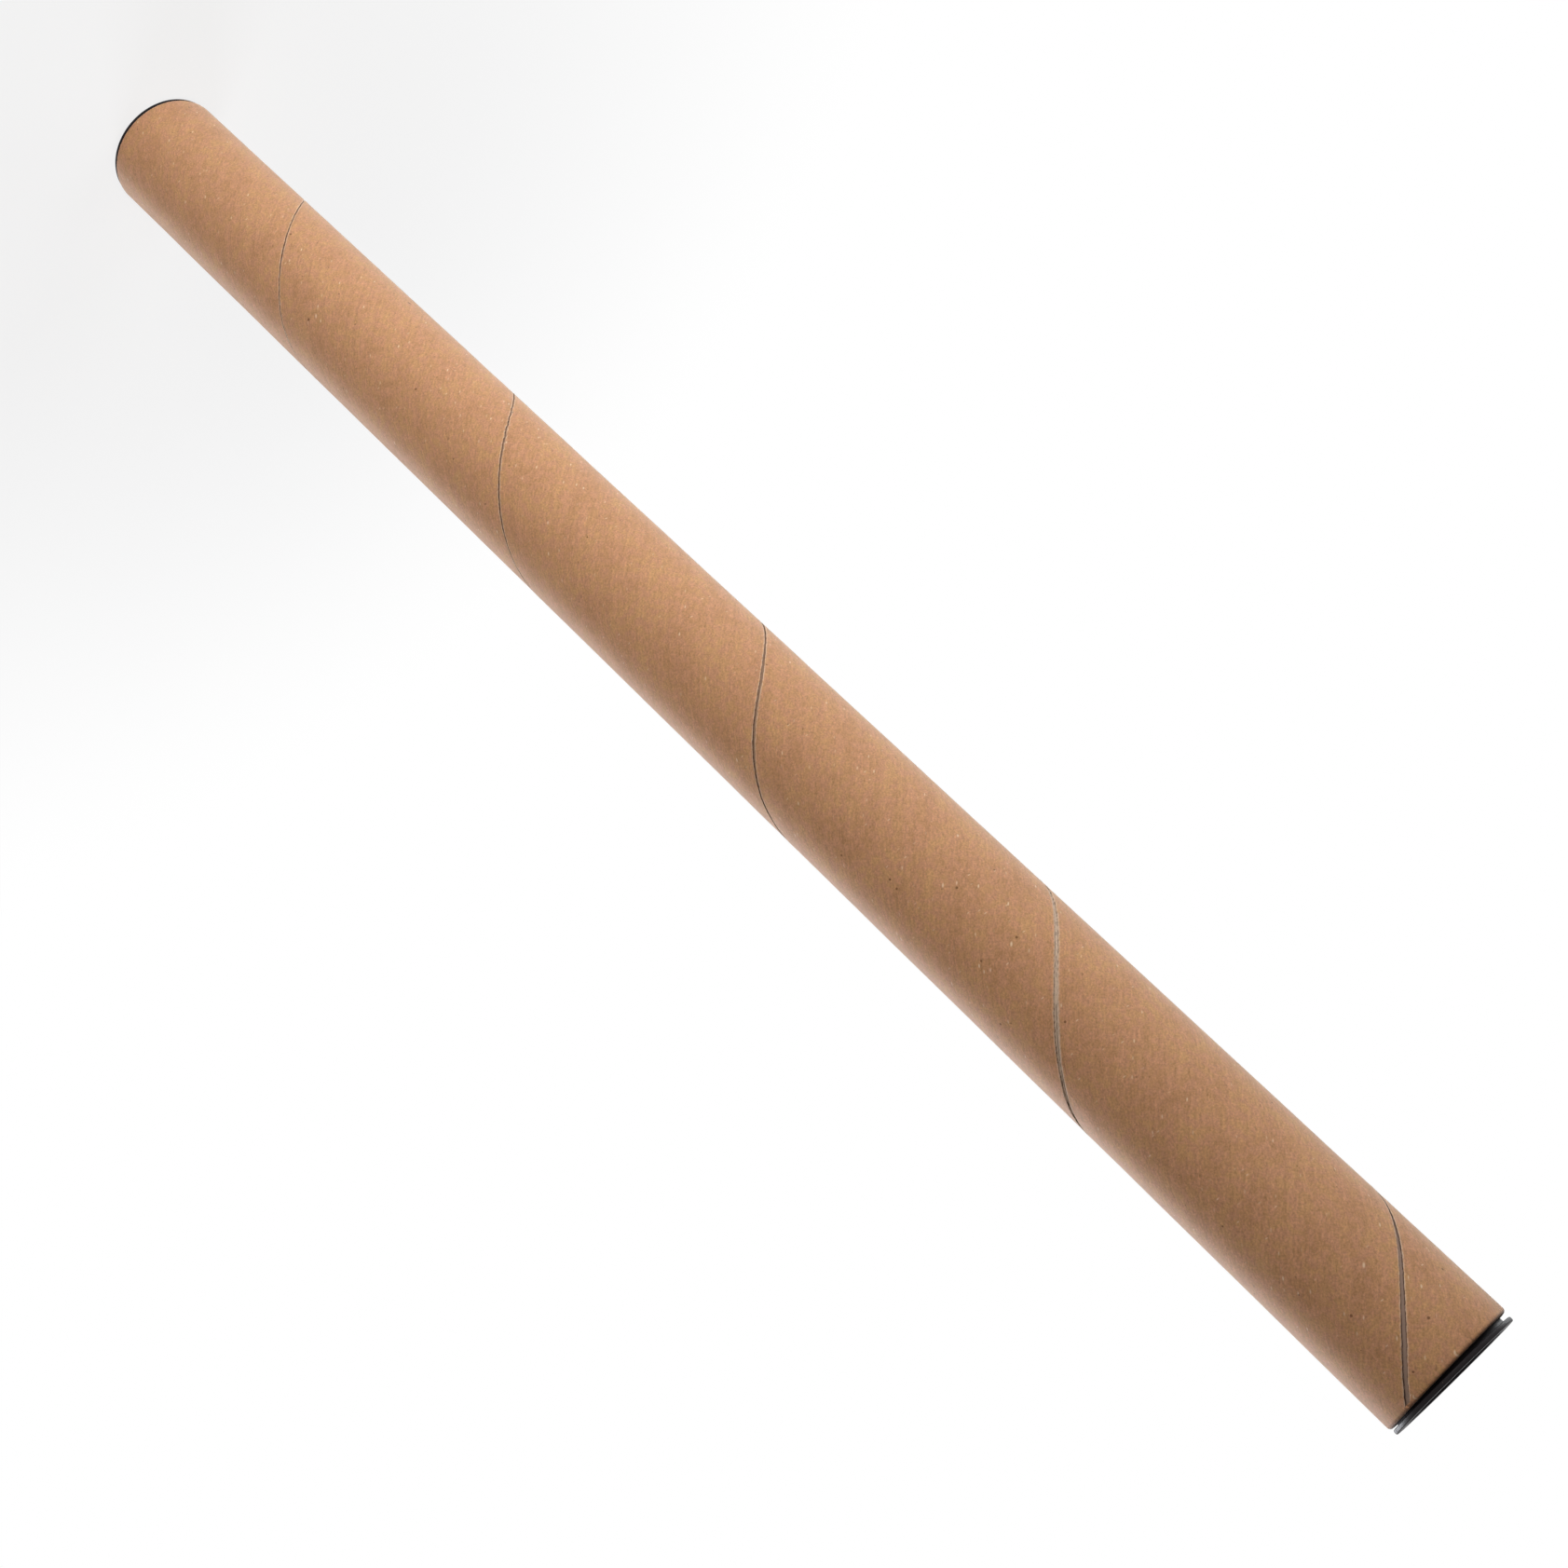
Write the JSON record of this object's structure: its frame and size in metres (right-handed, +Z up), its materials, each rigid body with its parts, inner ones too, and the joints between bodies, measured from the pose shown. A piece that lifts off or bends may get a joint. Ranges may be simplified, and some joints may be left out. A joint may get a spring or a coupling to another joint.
{
  "type": "paper mailing tube",
  "caption": "Slim spiral-wound kraft paper mailing tube, closed at each end by a black push-in plastic cap with a flange.",
  "frame": {"origin": "on the floor, under the middle of the lower cap on which the tube stands", "axes": "+Z up the tube towards the upper cap; -Y towards the side that the picture shows"},
  "size_m": [0.032, 0.032, 0.4531],
  "materials": {
    "kraft_paper": "matt brown kraft with fine fibres",
    "cap_plastic": "black moulded, low sheen"
  },
  "bodies": {
    "lower_cap": {"lower_cap": "cap_plastic"},
    "tube": {"tube": "kraft_paper"},
    "upper_cap": {"upper_cap": "cap_plastic"}
  },
  "joints": [
    {"name": "lower_cap_pull", "type": "slide", "parent": "lower_cap", "child": "tube", "axis": [0, 0, 1], "range_m": [0, 0.04]},
    {"name": "upper_cap_pull", "type": "slide", "parent": "tube", "child": "upper_cap", "axis": [0, 0, 1], "range_m": [0, 0.04]}
  ]
}
